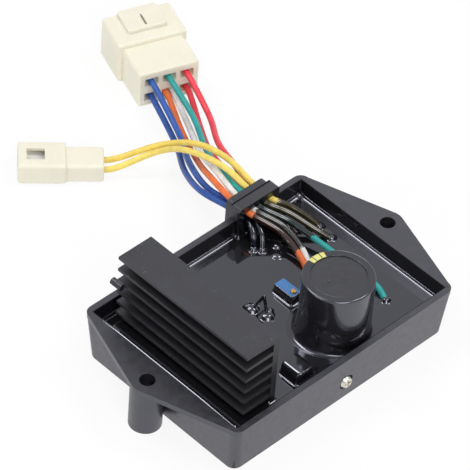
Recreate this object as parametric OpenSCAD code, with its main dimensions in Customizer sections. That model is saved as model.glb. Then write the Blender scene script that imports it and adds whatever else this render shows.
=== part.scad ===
// Potted automatic voltage regulator for a generator: a moulded tray with two
// mounting ears, filled with resin around a heat sink, a capacitor, a trimmer
// and a board, with two plug-in leads leaving through a grommet in the rear wall.

/* [Tray] */
// Length of the tray at its rim, along the line of the mounting holes
case_l = 123; // [116:1:150]
// Width of the tray at its rim
case_w = 89; // [87:1:120]
// Height of the tray
case_h = 24; // [22:0.5:30]
// Thickness of the walls at the rim
wall = 3; // [2:0.25:3.5]
// Thickness of the floor
floor_t = 2.5; // [1.5:0.25:4]
// How far each wall leans in between the rim and the floor
draft = 2; // [0.5:0.25:2.5]
// Radius of the upright corners
corner_r = 4; // [3.5:0.5:8]
// Depth of the resin surface below the rim
fill_drop = 8; // [6:0.5:9]

/* [Mounting ears] */
// Distance from the tray wall out to each hole centre
hole_reach = 6; // [4:0.5:12]
// Diameter of the mounting holes
hole_d = 6.6; // [4.5:0.1:9]
// Diameter of the boss round each hole
boss_d = 13.8; // [12:0.2:18]
// Thickness of the ear plates
ear_t = 2.4; // [1.5:0.1:4]
// Thickness of the web that ties a boss to the wall
web_t = 3; // [1.5:0.25:5]

/* [Heat sink] */
// Length of the heat sink extrusion
sink_l = 73.5; // [50:0.5:74]
// Height of the heat sink above the resin
sink_rise = 35.4; // [33:0.2:50]
// Thickness of the back plate
sink_plate_t = 3; // [2:0.25:5]
// Length of each fin from the plate to its tip
fin_reach = 14.6; // [8:0.2:18]
// Distance between fins
fin_pitch = 6.1; // [4:0.1:6.5]
// Number of fins
fin_count = 6; // [3:1:6]
// Thickness of a fin at its root
fin_root_t = 2; // [1.4:0.1:3]
// Thickness of a fin at its tip
fin_tip_t = 1.4; // [0.8:0.1:2]
// Gap between the fin tips and the tray wall
sink_wall_gap = 9.5; // [5:0.5:14]
// Offset of the heat sink from the middle of the tray
sink_shift = 1.4; // [0:0.2:1.4]
// Diameter of the short pin on the end of the third fin
pin_d = 3.2; // [2.4:0.1:4]

/* [Capacitor] */
// Diameter of the capacitor over its sleeve
cap_d = 30; // [22:1:32]
// Height of the capacitor above the resin
cap_rise = 30; // [20:1:45]
// Thickness of the sleeve
sleeve_t = 0.4; // [0.2:0.05:0.6]
// Width of the sleeve fold on the top
fold_w = 3.4; // [1.5:0.1:5]
// Radius of the can's top edge
can_edge_r = 1.4; // [0.8:0.1:2]
// Distance of the capacitor axis from the middle of the tray
cap_x = 13.8; // [10:0.2:20]
// Gap between the capacitor and the front wall at the rim
cap_wall_gap = 3.4; // [2.5:0.1:8]

/* [Trimmer] */
// Length of the trimmer body
trimmer_l = 10; // [8:0.5:14]
// Width of the trimmer body
trimmer_w = 5; // [4:0.1:8]
// Height of the trimmer above the resin
trimmer_rise = 4.4; // [2:0.2:8]
// Diameter of the adjusting screw
adjuster_d = 2.2; // [1.6:0.1:3]
// Height of the adjusting screw above the trimmer
adjuster_rise = 0.8; // [0.4:0.1:2]
// Gap between the trimmer and the capacitor
trimmer_gap = 5.7; // [3:0.1:9]

/* [Board and small parts] */
// Height of the posts that carry the board
post_h = 6.3; // [4:0.1:7]
// Diameter of the posts
post_d = 6; // [4:0.5:8]
// Thickness of the board
board_t = 1.6; // [1:0.1:2.4]
// Margin between the board and the walls
board_margin = 4; // [4:0.5:6]
// Width of the block capacitor
block_w = 9.6; // [6:0.2:12]
// Length of the block capacitor
block_l = 10; // [6:0.2:12]
// Height of the block capacitor above the resin
block_rise = 6; // [3:0.2:10]
// Gap between the block capacitor and the heat sink
block_gap = 12.2; // [10.6:0.2:13.6]
// Gap between the block capacitor and the front wall at the rim
block_wall_gap = 4.6; // [3:0.2:8]
// Diameter of the bent jumper lead
jumper_d = 1.4; // [0.8:0.1:2]
// Height of the jumper lead above the resin
jumper_rise = 7.4; // [4:0.2:10]
// Diameter of the screw in the front wall
wall_screw_d = 3; // [2.5:0.1:4]
// Head diameter of the screw in the front wall
wall_screw_head_d = 6.2; // [5.5:0.1:8]
// Height of that screw above the tray's underside
wall_screw_z = 9.5; // [7.5:0.25:12]

/* [Power transistors] */
// Width of a transistor package
device_w = 10; // [8:0.2:14]
// Height of a transistor's moulded body
device_body_h = 9.2; // [7:0.2:12]
// Thickness of a transistor's moulded body
device_body_t = 4.4; // [3.5:0.1:6]
// Height of a transistor's metal tab above its body
device_tab_h = 6.4; // [5.8:0.2:8]
// Thickness of the metal tab
device_tab_t = 1.3; // [0.8:0.1:2]
// Height of the transistor bodies above the resin
device_rise = 4; // [2:0.2:8]
// Distance between the two transistors
device_pitch = 36; // [16:1:50]
// Diameter of the screws that clamp the transistors
clamp_screw_d = 3; // [2.5:0.1:4]

/* [Grommet] */
// Width of the grommet's inner flange
grommet_w = 22.6; // [22:0.1:26]
// Height of the grommet above the rim
grommet_rise = 7.6; // [6:0.2:10]
// Thickness of the outer flange
flange_t = 3.4; // [2:0.2:5]
// Thickness of the inner flange
inner_flange_t = 1.4; // [1:0.1:3]
// How far the outer flange stays inside the inner one at each end and at the top
flange_step = 0.7; // [0:0.1:1]
// How far the flanges overlap the wall beside the notch
flange_lap = 1.3; // [0.8:0.1:1.6]
// Depth of the wall notch below the rim
notch_drop = 4.2; // [3.4:0.2:5]
// Thickness of the grommet's bars above and below the wires
grommet_bar = 2.2; // [1.4:0.1:2.6]
// Distance of the grommet from the end wall, to its centre line
grommet_inset = 29.8; // [18:0.2:40]
// Width of the groove across the top
groove_w = 0.8; // [0.4:0.1:1.6]

/* [Loom connector] */
// Width of the mating shell
plug_w = 32; // [31:0.5:40]
// Height of the mating shell
plug_h = 20.5; // [20:0.5:26]
// Length of the mating shell
plug_shell_l = 20; // [16:0.5:26]
// Length of the rear block that takes the wires
plug_rear_l = 18; // [12:0.5:24]
// Step from the shell in to the rear block
plug_step = 2; // [1:0.1:2.5]
// Thickness of the shell wall
plug_wall = 1.5; // [1:0.1:2]
// Distance between terminal columns
plug_pitch = 8.2; // [7.4:0.1:8.4]
// Distance between terminal rows
plug_row = 8.2; // [6:0.1:8.6]

/* [Pair connector] */
// Width of the mating shell
pair_w = 15.6; // [15:0.2:20]
// Height of the mating shell
pair_h = 10.6; // [10:0.2:14]
// Length of the mating shell
pair_shell_l = 20.4; // [18:0.2:26]
// Length of the rear block that takes the wires
pair_rear_l = 16; // [12:0.5:20]
// Step from the shell in to the rear block
pair_step = 1.3; // [0.8:0.1:1.4]
// Thickness of the shell wall
pair_wall = 1.4; // [1:0.1:1.6]
// Distance between the two terminals
pair_pitch = 5.8; // [5.4:0.1:6.2]
// Length of the window in the top
window_l = 7.6; // [5:0.2:10]
// Width of the window in the top
window_w = 6.6; // [4:0.2:9]

/* [Leads] */
// Distance from the rear wall out to the loom connector
loom_reach = 86.5; // [80:0.5:110]
// Distance from the grommet's centre line across to the loom connector
loom_side = 36.3; // [30:0.1:42]
// Distance from the rear wall out to the pair connector
pair_reach = 71.5; // [66:0.5:78]
// Distance from the grommet's centre line across to the pair connector
pair_side = -15.2; // [-22:0.1:-12]
// Diameter of a wire over its insulation
wire_d = 2.7; // [2:0.1:2.7]

/* [Terminals] */
// Width of a loom terminal tab
tab_w = 6.3; // [4.8:0.1:6.8]
// Width of a pair terminal tab
pair_tab_w = 4.4; // [2.8:0.1:4.8]
// Thickness of the tabs
tab_t = 0.8; // [0.5:0.1:1]
// Distance from the tab ends to the mouth of the shell
tab_setback = 7; // [6:0.2:9]

/* [Fits] */
// Clearance round a fixed screw, tab or clamped piece
fit = 0.1; // [0.05:0.01:0.2]
// Radial clearance of the adjusting screw in its bore
running_fit = 0.05; // [0.02:0.01:0.1]

/* [Hidden] */
$fn = 48;

// Small overshoot that lets a cut run clear of a face
past = 1;
// Smoothness of rounded outlines
outline_fn = 32;

// Tray
hole_x = case_l / 2 + hole_reach;
inner_l = case_l - 2 * wall;
inner_w = case_w - 2 * wall;
inner_r = max(corner_r - wall, 0.5);
resin_z = case_h - fill_drop;
board_z = floor_t + post_h;
board_top = board_z + board_t;
// How far the walls have leaned in at a height above the underside
function lean_at(z) = draft * (case_h - z) / case_h;

// Heat sink
fin_tip_x = -inner_l / 2 + sink_wall_gap;
plate_x = fin_tip_x + fin_reach;
plate_back_x = plate_x + sink_plate_t;
sink_top = resin_z + sink_rise;
pin_fin = 2;
pin_out = pin_d / 2;
pin_l = 1.75 * pin_d;

// Capacitor
can_r = cap_d / 2 - sleeve_t;
cap_y = -inner_w / 2 + cap_wall_gap + cap_d / 2;
cap_top = resin_z + cap_rise;
disc_t = sleeve_t;
can_top = cap_top - sleeve_t - disc_t;

// Trimmer
trimmer_y = cap_y + cap_d / 2 + trimmer_gap + trimmer_l / 2;
trimmer_top = resin_z + trimmer_rise;
adjuster_y = trimmer_y - trimmer_l / 2 + 0.75 * adjuster_d;
adjuster_depth = 2.6;
adjuster_slot = 0.5;

// Board and what stands on it
board_x0 = plate_back_x + board_margin / 2;
board_x1 = inner_l / 2 - lean_at(board_z) - board_margin;
board_y1 = inner_w / 2 - lean_at(board_z) - board_margin;
chip_size = [9.8, 6.4, 3.4];
chip_x = board_x1 - 1.5 * chip_size[0];
block_x = plate_back_x + block_gap + block_w / 2;
block_y = -inner_w / 2 + block_wall_gap + block_l / 2;
block_edge_r = 1.2;
jumper_near = [cap_x - cap_d / 2 - 0.4, trimmer_y - 3.2, resin_z];
jumper_far = jumper_near + [-2, 6.9, 0];
jumper_apex = jumper_near + [1.4, 3.8, jumper_rise];
jumper_bump = [6.4, 1.8];
jumper_nib = [3, 1.6];
wall_screw_x = 1.5;
wall_screw_l = wall + 2;
wall_screw_head_h = 1.9;
wall_screw_bore_d = 1.15 * wall_screw_head_d;
wall_screw_sink = 0.8;
wall_screw_y = -case_w / 2 + lean_at(wall_screw_z) + wall_screw_sink;

// Transistors
device_y = [sink_shift - device_pitch / 2, sink_shift + device_pitch / 2];
device_z = resin_z + device_rise;
tab_hole_z = device_z + device_body_h + device_tab_h / 2;
leg_pitch = device_w / 4;
leg_size = [0.6, 0.9];
clamp_head_d = 1.8 * clamp_screw_d;
clamp_head_h = 0.7 * clamp_screw_d;

// Grommet
grommet_x = case_l / 2 - grommet_inset;
grommet_top = case_h + grommet_rise;
neck_w = grommet_w - 2 * flange_lap;
notch_z = case_h - notch_drop;
wall_out_y = case_w / 2;
wall_in_y = case_w / 2 - wall;
inner_foot_z = resin_z - 1;
flange_out_y = wall_out_y + 2 * fit;
flange_in_y = wall_in_y - lean_at(inner_foot_z) - 2 * fit;
window_z0 = notch_z + grommet_bar - fit;
window_z1 = grommet_top - 1.5 * grommet_bar;
grommet_window_w = neck_w - grommet_bar;

// Connectors lie on the surface that the tray stands on
loom_place = [grommet_x + loom_side, wall_out_y + loom_reach];
loom_turn = -20;
pair_place = [grommet_x + pair_side, wall_out_y + pair_reach];
pair_turn = 49;
housing_r = 1.4;
plug_rear_w = plug_w - 2 * plug_step;
plug_rear_h = plug_h - plug_step;
plug_mid_z = plug_rear_h / 2;
plug_cell = [6.2, 4];
plug_cell_l = 4;
plug_mate_l = plug_shell_l - 2;
latch_w = 0.56 * plug_w;
latch_l = 0.7 * plug_shell_l;
latch_h = 1.8;
latch_slot_w = 1;
pair_rear_w = pair_w - 2 * pair_step;
pair_rear_h = pair_h - pair_step;
pair_mid_z = pair_rear_h / 2;
pair_cell = [4.6, 4];
pair_cell_l = 4;
pair_mate_l = pair_shell_l - 2;
pair_box = [5, 4.6];
pair_box_l = 8;
pair_box_wall = 0.8;
window_setback = 3.8;

// Wires: each starts on the resin, runs through the grommet and ends in a connector
wire_sides = 8;
row_low = window_z0 + wire_d / 2 + fit;
row_high = window_z1 - wire_d / 2 - fit;
straight_l = 3;
// Points inside the tray, as parts of its width from the grommet and the wall, and of the fill drop
function inside(points) = [
    for (p = points) [grommet_x + inner_w * p[0], wall_out_y + inner_w * p[1], resin_z + fill_drop * p[2]]
];
// Points outside, as parts of the way to the loom connector, with heights as parts of the tray's
function outside(points) = [
    for (p = points) [grommet_x + loom_side * p[0], wall_out_y + loom_reach * p[1], case_h * p[2]]
];
// Straight run through the grommet window, placed by a part of its width
function through(x, z) = [
    [grommet_x + grommet_window_w * x, flange_in_y - inner_flange_t - past / 2, z],
    [grommet_x + grommet_window_w * x, flange_out_y + flange_t + past / 2, z]
];
// Straight run into a connector cell, for a wire that lies off the cell's middle by x
function into(place, turn, x, z, depth) = [
    for (y = [-straight_l, depth])
        [place[0] + x * cos(turn) - y * sin(turn), place[1] + x * sin(turn) + y * cos(turn), z]
];
function into_loom(column, row, off = 0) =
    into(loom_place, loom_turn, column * plug_pitch + off, plug_mid_z + row * plug_row / 2, plug_cell_l);
function into_pair(side) =
    into(pair_place, pair_turn, side * pair_pitch / 2, pair_mid_z, pair_cell_l);
route_blue_1 = concat(
    inside([[-0.137, -0.171, 0], [-0.113, -0.145, 0.625]]),
    through(-0.388, row_low),
    outside([[-0.187, 0.243, 0.84], [0.079, 0.474, 0.46], [0.484, 0.717, 0.14]]),
    into_loom(-1, -1)
);
route_blue_2 = concat(
    inside([[-0.106, -0.205, 0], [-0.075, -0.166, 0.575]]),
    through(-0.213, row_low),
    outside([[-0.077, 0.243, 0.8], [0.176, 0.486, 0.54], [0.539, 0.717, 0.3]]),
    into_loom(-1, 1)
);
route_orange = concat(
    inside([[-0.045, -0.464, 0], [-0.02, -0.398, 0.25], [-0.002, -0.229, 0.75]]),
    through(-0.322, row_high),
    outside([[-0.022, 0.254, 0.98], [0.314, 0.491, 0.46], [0.706, 0.775, 0.11]]),
    into_loom(0, -1, -wire_d / 2 - fit)
);
route_white = concat(
    inside([[0.004, -0.422, 0], [0.028, -0.349, 0.312], [0.034, -0.205, 0.812]]),
    through(-0.155, row_high),
    outside([[0.089, 0.277, 1.02], [0.369, 0.497, 0.6], [0.788, 0.763, 0.2]]),
    into_loom(0, -1, wire_d / 2 + fit)
);
route_green = concat(
    inside([[0.112, -0.849, 0], [0.13, -0.771, 0.25], [0.124, -0.482, 0.375], [0.082, -0.205, 0.812]]),
    through(0.017, row_high),
    outside([[0.185, 0.289, 0.92], [0.507, 0.52, 0.52], [0.829, 0.751, 0.4]]),
    into_loom(0, 1)
);
route_red_1 = concat(
    inside([[0.051, -0.229, 0], [0.053, -0.163, 0.5]]),
    through(0.213, row_low),
    outside([[0.267, 0.254, 0.82], [0.562, 0.509, 0.4], [0.925, 0.74, 0.12]]),
    into_loom(1, -1)
);
route_red_2 = concat(
    inside([[0.09, -0.223, 0], [0.092, -0.157, 0.5]]),
    through(0.388, row_low),
    outside([[0.364, 0.254, 0.9], [0.658, 0.497, 0.56], [1.021, 0.717, 0.32]]),
    into_loom(1, 1)
);
route_yellow_1 = concat(
    inside([[0.227, -0.271, 0], [0.205, -0.229, 0.362], [0.145, -0.14, 1]]),
    through(0.41, row_high),
    outside([[0.282, 0.289, 1.1], [0.259, 0.486, 0.94], [0.125, 0.671, 0.56]]),
    into_pair(1)
);
route_yellow_2 = concat(
    inside([[0.214, -0.367, 0], [0.178, -0.313, 0.312], [0.106, -0.157, 1]]),
    through(0.215, row_high),
    outside([[0.087, 0.208, 1.24], [0.066, 0.474, 1], [0.042, 0.659, 0.5]]),
    into_pair(-1)
);

// Rounded rectangle centred on the origin
module rounded_rect(w, h, r) {
    offset(r = r, $fn = outline_fn)
        square([w - 2 * r, h - 2 * r], center = true);
}

// Block on z = 0 whose four walls lean out by the given run up to full size
module drafted_block(l, w, h, r, run) {
    foot_l = l - 2 * run;
    foot_w = w - 2 * run;
    linear_extrude(height = h, scale = [l / foot_l, w / foot_w], slices = 1)
        rounded_rect(foot_l, foot_w, r);
}

// Space inside the tray, carried on past the rim
module tray_space() {
    depth = case_h - floor_t;
    slope = draft / case_h;
    translate([0, 0, floor_t])
        drafted_block(
            inner_l + 2 * past * slope, inner_w + 2 * past * slope,
            depth + past, inner_r, (depth + past) * slope
        );
}

// Positions of the posts under the board's corners
module at_posts() {
    inset = post_d / 2;
    for (x = [board_x0 + inset, board_x1 - inset], y = [-1, 1])
        translate([x, y * (board_y1 - inset), 0])
            children();
}

module board_posts() {
    at_posts()
        translate([0, 0, floor_t])
            cylinder(d = post_d, h = post_h);
}

// One ear, its boss and its web, on the +X side
module ear() {
    translate([0, 0, case_h - ear_t])
        linear_extrude(height = ear_t)
            hull() {
                translate([hole_x, 0])
                    circle(d = boss_d, $fn = outline_fn);
                for (side = [-1, 1])
                    translate([case_l / 2 - corner_r, side * (case_w / 2 - corner_r)])
                        circle(r = corner_r - lean_at(case_h - ear_t), $fn = outline_fn);
            }
    translate([hole_x, 0, 0])
        cylinder(d = boss_d, h = case_h);
    translate([case_l / 2 - wall - draft, -web_t / 2, 0])
        cube([hole_reach + wall + draft, web_t, case_h]);
}

module potting_case() {
    color("#2b2b2e")
        difference() {
            union() {
                difference() {
                    union() {
                        drafted_block(case_l, case_w, case_h, corner_r, draft);
                        for (side = [0, 180])
                            rotate([0, 0, side])
                                ear();
                    }
                    tray_space();
                }
                board_posts();
            }
            for (side = [-1, 1])
                translate([side * hole_x, 0, -past])
                    cylinder(d = hole_d, h = case_h + 2 * past);
            translate([grommet_x - neck_w / 2 - fit, wall_in_y - draft, notch_z])
                cube([neck_w + 2 * fit, wall + draft + past, notch_drop + past]);
            translate([wall_screw_x, 0, wall_screw_z])
                rotate([90, 0, 0]) {
                    cylinder(d = wall_screw_d + 2 * fit, h = case_w);
                    translate([0, 0, -wall_screw_y])
                        cylinder(d = wall_screw_bore_d, h = case_w);
                }
        }
}

// Low domes of resin over solder joints and leads
module resin_bumps() {
    at_joints = [
        [grommet_x - 2.2, wall_in_y - 16, resin_z], [grommet_x - 6.2, wall_in_y - 20, resin_z],
        jumper_near, jumper_far, jumper_near + [2.8, 1.2, 0], jumper_far + [-1.4, 1.9, 0]
    ];
    sizes = [[4, 1.2], [5, 1], jumper_bump, jumper_bump, jumper_nib, jumper_nib];
    for (i = [0:len(sizes) - 1]) {
        d = sizes[i][0];
        h = sizes[i][1];
        ball_r = (d * d / 4 + h * h) / (2 * h);
        translate(at_joints[i])
            intersection() {
                translate([0, 0, h - ball_r])
                    sphere(r = ball_r);
                translate([-d, -d, -h / 2])
                    cube([2 * d, 2 * d, 2 * h]);
            }
    }
}

module potting_resin() {
    color("#17171a")
        difference() {
            union() {
                intersection() {
                    tray_space();
                    translate([-case_l, -case_w, 0])
                        cube([2 * case_l, 2 * case_w, resin_z]);
                }
                resin_bumps();
            }
            board_posts();
            board_blank();
            chip_blank();
            block_blank();
            trimmer_blank();
            jumper_wire();
            translate([cap_x, cap_y, board_top])
                cylinder(d = cap_d, h = cap_rise + case_h);
            translate([plate_x, sink_shift - sink_l / 2, floor_t])
                cube([sink_plate_t, sink_l, case_h]);
            grommet_inner_flange();
            wall_screw_shank();
        }
}

// Heat sink section, drawn with the fins along -X and the height along +Y
module sink_section() {
    plate_h = sink_top - floor_t;
    translate([plate_x, floor_t])
        square([sink_plate_t, plate_h]);
    for (i = [0:fin_count - 1]) {
        top = sink_top - i * fin_pitch;
        spare = i == 0 ? 0 : (fin_root_t - fin_tip_t) / 2;
        polygon([
            [plate_x + past, top - fin_root_t], [plate_x + past, top],
            [fin_tip_x, top - spare], [fin_tip_x, top - spare - fin_tip_t]
        ]);
    }
}

module heat_sink() {
    color("#333336")
        difference() {
            union() {
                translate([0, sink_shift + sink_l / 2, 0])
                    rotate([90, 0, 0])
                        linear_extrude(height = sink_l)
                            sink_section();
                translate([
                    fin_tip_x - pin_d / 3, sink_shift + sink_l / 2 + pin_out,
                    sink_top - pin_fin * fin_pitch - pin_d / 2
                ])
                    rotate([90, 0, 0])
                        cylinder(d = pin_d, h = pin_l);
            }
            for (y = device_y)
                translate([plate_x - past, y, tab_hole_z])
                    rotate([0, 90, 0])
                        cylinder(d = clamp_screw_d + 2 * fit, h = sink_plate_t + 2 * past);
        }
}

// Quarter turn of points from the side of a can round to its top
function edge_arc(r, edge_r, top, steps = 6) = [
    for (i = [0:steps])
        let (a = 90 * i / steps)
            [r - edge_r + edge_r * cos(a), top - edge_r + edge_r * sin(a)]
];

module capacitor_can() {
    color("#b9bbbd")
        translate([cap_x, cap_y, 0])
            rotate_extrude()
                polygon(concat(
                    [[0, board_top], [can_r, board_top]],
                    edge_arc(can_r, can_edge_r, can_top), [[0, can_top]]
                ));
}

module capacitor_top_disc() {
    color("#3a3a3e")
        translate([cap_x, cap_y, can_top])
            cylinder(r = can_r - can_edge_r, h = disc_t);
}

module capacitor_sleeve() {
    fold_r = cap_d / 2 - fold_w;
    outer = edge_arc(cap_d / 2, can_edge_r + sleeve_t, cap_top);
    inner = edge_arc(can_r, can_edge_r, can_top);
    color("#2e2e32")
        translate([cap_x, cap_y, 0])
            rotate_extrude()
                polygon(concat(
                    [[can_r, board_top], [cap_d / 2, board_top]], outer,
                    [[fold_r, cap_top], [fold_r, cap_top - sleeve_t]],
                    [[can_r - can_edge_r, cap_top - sleeve_t]],
                    [for (i = [len(inner) - 1:-1:0]) inner[i]]
                ));
}

module trimmer_blank() {
    translate([cap_x - trimmer_w / 2 - 1, trimmer_y - trimmer_l / 2, board_top])
        cube([trimmer_w, trimmer_l, trimmer_top - board_top]);
}

module at_adjuster() {
    translate([cap_x - 1, adjuster_y, trimmer_top - adjuster_depth])
        children();
}

module trimmer_body() {
    color("#5b93d6")
        difference() {
            trimmer_blank();
            at_adjuster()
                cylinder(d = adjuster_d + 2 * running_fit, h = adjuster_depth + past);
        }
}

module trimmer_screw() {
    length = adjuster_depth + adjuster_rise - running_fit;
    color("#c79a3f")
        at_adjuster()
            translate([0, 0, running_fit])
                difference() {
                    cylinder(d = adjuster_d, h = length);
                    translate([-adjuster_d, -adjuster_slot / 2, length - adjuster_slot])
                        cube([2 * adjuster_d, adjuster_slot, adjuster_slot + past]);
                }
}

module board_blank() {
    translate([board_x0, -board_y1, board_z])
        cube([board_x1 - board_x0, 2 * board_y1, board_t]);
}

module circuit_board() {
    color("#2f6b3c")
        board_blank();
}

module chip_blank() {
    translate([chip_x, -chip_size[1] / 2, board_top])
        cube(chip_size);
}

module control_chip() {
    color("#202022")
        chip_blank();
}

module block_blank() {
    translate([block_x, block_y, board_top])
        linear_extrude(height = resin_z + block_rise - board_top)
            rounded_rect(block_w, block_l, block_edge_r);
}

module block_capacitor() {
    color("#1d1d20")
        block_blank();
}

// Round rod from one point to another
module rod(a, b, d) {
    run = b - a;
    translate(a)
        rotate([0, acos(run[2] / norm(run)), atan2(run[1], run[0])])
            cylinder(d = d, h = norm(run));
}

// Bare lead that rises from one joint to a peak and comes down to the next
module jumper_wire() {
    rod(jumper_near, jumper_apex, jumper_d);
    rod(jumper_far, jumper_apex, jumper_d);
    translate(jumper_apex)
        sphere(d = jumper_d);
}

module jumper_lead() {
    color("#26262a")
        jumper_wire();
}

// One transistor, tab against the heat sink plate, legs down to the resin
module transistor() {
    body_top = device_z + device_body_h;
    difference() {
        union() {
            translate([plate_back_x, -device_w / 2, device_z])
                cube([device_body_t, device_w, device_body_h]);
            translate([plate_back_x, -device_w / 2, body_top])
                cube([device_tab_t, device_w, device_tab_h]);
            for (i = [-1:1])
                translate([
                    plate_back_x + device_body_t / 2 - leg_size[0] / 2,
                    i * leg_pitch - leg_size[1] / 2, resin_z
                ])
                    cube([leg_size[0], leg_size[1], device_rise]);
        }
        translate([plate_back_x - past, 0, tab_hole_z])
            rotate([0, 90, 0])
                cylinder(d = clamp_screw_d + 2 * fit, h = device_tab_t + 2 * past);
    }
}

module power_transistors() {
    color("#1c1c1f")
        for (y = device_y)
            translate([0, y, 0])
                transistor();
}

module transistor_screws() {
    grip = sink_plate_t + device_tab_t;
    color("#b4b4b8")
        for (y = device_y)
            translate([plate_x, y, tab_hole_z])
                rotate([0, 90, 0]) {
                    cylinder(d = clamp_screw_d, h = grip + past / 2);
                    translate([0, 0, grip])
                        cylinder(d = clamp_head_d, h = clamp_head_h);
                }
}

module wall_screw_shank() {
    translate([wall_screw_x, wall_screw_y, wall_screw_z])
        rotate([-90, 0, 0])
            cylinder(d = wall_screw_d, h = wall_screw_l);
}

module wall_screw() {
    slot_w = wall_screw_head_d / 6;
    face_d = 0.7 * wall_screw_head_d;
    slot_l = 0.6 * wall_screw_head_d;
    color("#c9c6bd")
        difference() {
            union() {
                wall_screw_shank();
                translate([wall_screw_x, wall_screw_y, wall_screw_z])
                    rotate([90, 0, 0])
                        cylinder(d1 = wall_screw_head_d, d2 = face_d, h = wall_screw_head_h);
            }
            for (turn = [0, 90])
                translate([wall_screw_x, wall_screw_y - wall_screw_head_h, wall_screw_z])
                    rotate([90, turn, 0])
                        cube([slot_l, slot_w, wall_screw_head_h], center = true);
        }
}

// Slab of the grommet between two y planes, from a height up to its rounded top
module grommet_slab(w, y0, y1, z0, top = grommet_top, top_r = 1.2) {
    translate([grommet_x, y1, z0])
        rotate([90, 0, 0])
            linear_extrude(height = y1 - y0)
                intersection() {
                    translate([0, (top - z0) / 2 - top_r])
                        rounded_rect(w, top - z0 + 2 * top_r, top_r);
                    translate([-w, 0])
                        square([2 * w, top - z0]);
                }
}

module grommet_inner_flange() {
    grommet_slab(grommet_w, flange_in_y - inner_flange_t, flange_in_y, inner_foot_z);
}

module wire_grommet() {
    passage = flange_out_y - flange_in_y + flange_t + inner_flange_t + 2 * past;
    color("#2f2f33")
        difference() {
            union() {
                grommet_inner_flange();
                grommet_slab(
                    grommet_w - 2 * flange_step, flange_out_y, flange_out_y + flange_t,
                    notch_z - grommet_bar / 2, grommet_top - flange_step, 3 * flange_step + fit
                );
                grommet_slab(neck_w, flange_in_y, flange_out_y, notch_z + fit);
                grommet_slab(grommet_w, flange_in_y, flange_out_y, case_h + fit);
            }
            translate([grommet_x, flange_out_y + flange_t + past, (window_z0 + window_z1) / 2])
                rotate([90, 0, 0])
                    linear_extrude(height = passage)
                        rounded_rect(grommet_window_w, window_z1 - window_z0, 1.2);
            translate([grommet_x - grommet_w, wall_out_y - groove_w, grommet_top - groove_w])
                cube([2 * grommet_w, groove_w, groove_w + past]);
        }
}

// Connector block along +Y with rounded long edges, its underside on z = 0
module housing_block(w, h, l) {
    translate([0, l, h / 2])
        rotate([90, 0, 0])
            linear_extrude(height = l)
                rounded_rect(w, h, housing_r);
}

module at_loom() {
    translate([loom_place[0], loom_place[1], 0])
        rotate([0, 0, loom_turn])
            children();
}

module at_loom_cells() {
    for (i = [-1:1], j = [-0.5, 0.5])
        translate([i * plug_pitch, 0, plug_mid_z + j * plug_row])
            children();
}

module loom_housing() {
    length = plug_rear_l + plug_shell_l;
    color("#f1ecd8")
        at_loom()
            difference() {
                union() {
                    housing_block(plug_rear_w, plug_rear_h, plug_rear_l + past);
                    translate([0, plug_rear_l, 0])
                        housing_block(plug_w, plug_h, plug_shell_l);
                    translate([-latch_w / 2, length - latch_l, plug_h - housing_r])
                        cube([latch_w, latch_l, latch_h + housing_r]);
                }
                translate([0, length - plug_mate_l, plug_wall])
                    housing_block(plug_w - 2 * plug_wall, plug_h - 2 * plug_wall, plug_mate_l + past);
                at_loom_cells() {
                    translate([-plug_cell[0] / 2, -past, -plug_cell[1] / 2])
                        cube([plug_cell[0], plug_cell_l + past, plug_cell[1]]);
                    translate([-tab_w / 2 - fit, 0, -tab_t / 2 - fit])
                        cube([tab_w + 2 * fit, length, tab_t + 2 * fit]);
                }
                translate([-latch_slot_w / 2, length - latch_l + 2, plug_h])
                    cube([latch_slot_w, latch_l / 2, latch_h + past]);
            }
}

module loom_terminals() {
    length = plug_rear_l + plug_shell_l - tab_setback - plug_cell_l;
    color("#c9b377")
        at_loom()
            at_loom_cells()
                translate([-tab_w / 2, plug_cell_l, -tab_t / 2])
                    cube([tab_w, length, tab_t]);
}

module at_pair() {
    translate([pair_place[0], pair_place[1], 0])
        rotate([0, 0, pair_turn])
            children();
}

module at_pair_cells() {
    for (i = [-0.5, 0.5])
        translate([i * pair_pitch, 0, pair_mid_z])
            children();
}

module pair_housing() {
    length = pair_rear_l + pair_shell_l;
    color("#f1ecd8")
        at_pair()
            difference() {
                union() {
                    housing_block(pair_rear_w, pair_rear_h, pair_rear_l + past);
                    translate([0, pair_rear_l, 0])
                        housing_block(pair_w, pair_h, pair_shell_l);
                }
                translate([0, length - pair_mate_l, pair_wall])
                    housing_block(pair_w - 2 * pair_wall, pair_h - 2 * pair_wall, pair_mate_l + past);
                at_pair_cells() {
                    translate([-pair_cell[0] / 2, -past, -pair_cell[1] / 2])
                        cube([pair_cell[0], pair_cell_l + past, pair_cell[1]]);
                    translate([-pair_tab_w / 2 - fit, 0, -tab_t / 2 - fit])
                        cube([pair_tab_w + 2 * fit, length, tab_t + 2 * fit]);
                }
                translate([-window_w / 2, length - window_setback - window_l, pair_mid_z])
                    cube([window_w, window_l, pair_h]);
            }
}

module pair_terminals() {
    tip = pair_rear_l + pair_shell_l - window_setback;
    box_y = tip - pair_box_l;
    socket = [pair_box[0] - 2 * pair_box_wall, pair_box[1] - 2 * pair_box_wall];
    color("#b9b3a6")
        at_pair()
            at_pair_cells() {
                translate([-pair_tab_w / 2, pair_cell_l, -tab_t / 2])
                    cube([pair_tab_w, box_y - pair_cell_l + pair_box_wall, tab_t]);
                difference() {
                    translate([-pair_box[0] / 2, box_y, -pair_box[1] / 2])
                        cube([pair_box[0], pair_box_l, pair_box[1]]);
                    translate([-socket[0] / 2, box_y + 2 * pair_box_wall, -socket[1] / 2])
                        cube([socket[0], pair_box_l, socket[1]]);
                }
            }
}

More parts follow.
